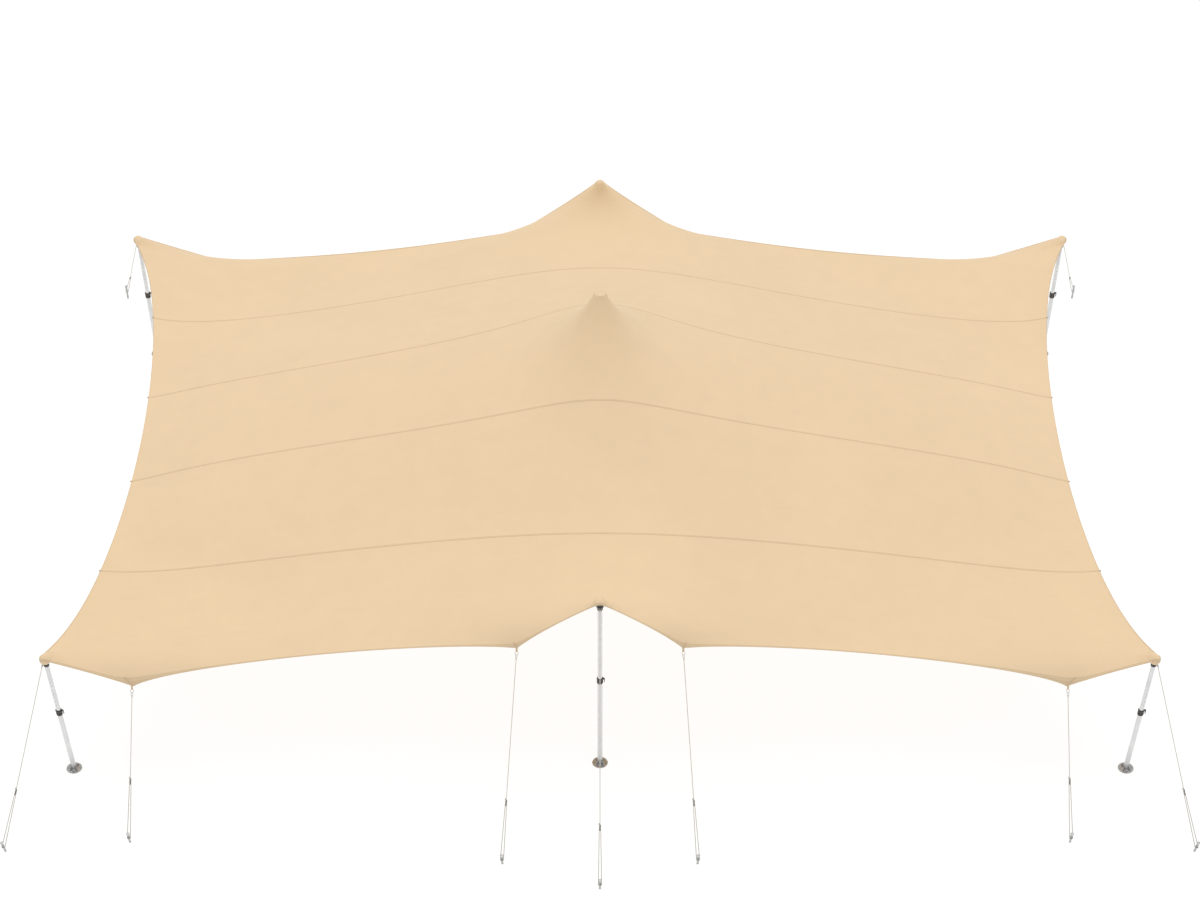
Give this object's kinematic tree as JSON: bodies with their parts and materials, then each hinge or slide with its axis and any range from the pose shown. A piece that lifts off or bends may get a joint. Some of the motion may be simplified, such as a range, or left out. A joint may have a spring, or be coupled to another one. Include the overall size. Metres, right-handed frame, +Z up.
{
  "type": "stretch tent",
  "caption": "Stretch tent with a tensioned sandy canopy that peaks over a middle pole, with corner, front and back poles, guy ropes and ground stakes",
  "frame": {"origin": "on the ground, at the middle of the tent's footprint", "axes": "+X to the right seen from the front, +Y to the back, +Z up"},
  "size_m": [16.2474, 14.356, 4.717],
  "materials": {
    "canopy_cloth": "matt sand-coloured stretch fabric with a fine knitted face",
    "pole_tube": "plain drawn aluminium tube, satin",
    "pole_head": "dark moulded plastic, fine texture",
    "galvanised_steel": "dull galvanised steel",
    "guy_rope": "pale braided polyester rope"
  },
  "bodies": {
    "root": {"canopy_strip_1": "canopy_cloth", "canopy_strip_2": "canopy_cloth", "canopy_strip_3": "canopy_cloth", "canopy_strip_4": "canopy_cloth", "canopy_strip_5": "canopy_cloth", "pole_back_left": "pole_tube", "pole_back_middle": "pole_tube", "pole_back_right": "pole_tube", "pole_foot_back_left": "galvanised_steel", "pole_foot_back_middle": "galvanised_steel", "pole_foot_back_right": "galvanised_steel", "pole_foot_front_left": "galvanised_steel", "pole_foot_front_middle": "galvanised_steel", "pole_foot_front_right": "galvanised_steel", "pole_foot_middle": "galvanised_steel", "pole_front_left": "pole_tube", "pole_front_middle": "pole_tube", "pole_front_right": "pole_tube", "pole_head_back_left": "pole_head", "pole_head_back_middle": "pole_head", "pole_head_back_right": "pole_head", "pole_head_front_left": "pole_head", "pole_head_front_middle": "pole_head", "pole_head_front_right": "pole_head", "pole_head_middle": "pole_head", "pole_middle": "pole_tube", "rope_back_left": "guy_rope", "rope_back_left_inner": "guy_rope", "rope_back_left_outer": "guy_rope", "rope_back_middle": "guy_rope", "rope_back_right": "guy_rope", "rope_back_right_inner": "guy_rope", "rope_back_right_outer": "guy_rope", "rope_front_left": "guy_rope", "rope_front_left_inner": "guy_rope", "rope_front_left_outer": "guy_rope", "rope_front_middle": "guy_rope", "rope_front_right": "guy_rope", "rope_front_right_inner": "guy_rope", "rope_front_right_outer": "guy_rope", "stake_back_left": "galvanised_steel", "stake_back_left_inner": "galvanised_steel", "stake_back_left_outer": "galvanised_steel", "stake_back_middle": "galvanised_steel", "stake_back_right": "galvanised_steel", "stake_back_right_inner": "galvanised_steel", "stake_back_right_outer": "galvanised_steel", "stake_front_left": "galvanised_steel", "stake_front_left_inner": "galvanised_steel", "stake_front_left_outer": "galvanised_steel", "stake_front_middle": "galvanised_steel", "stake_front_right": "galvanised_steel", "stake_front_right_inner": "galvanised_steel", "stake_front_right_outer": "galvanised_steel"}
  },
  "joints": []
}
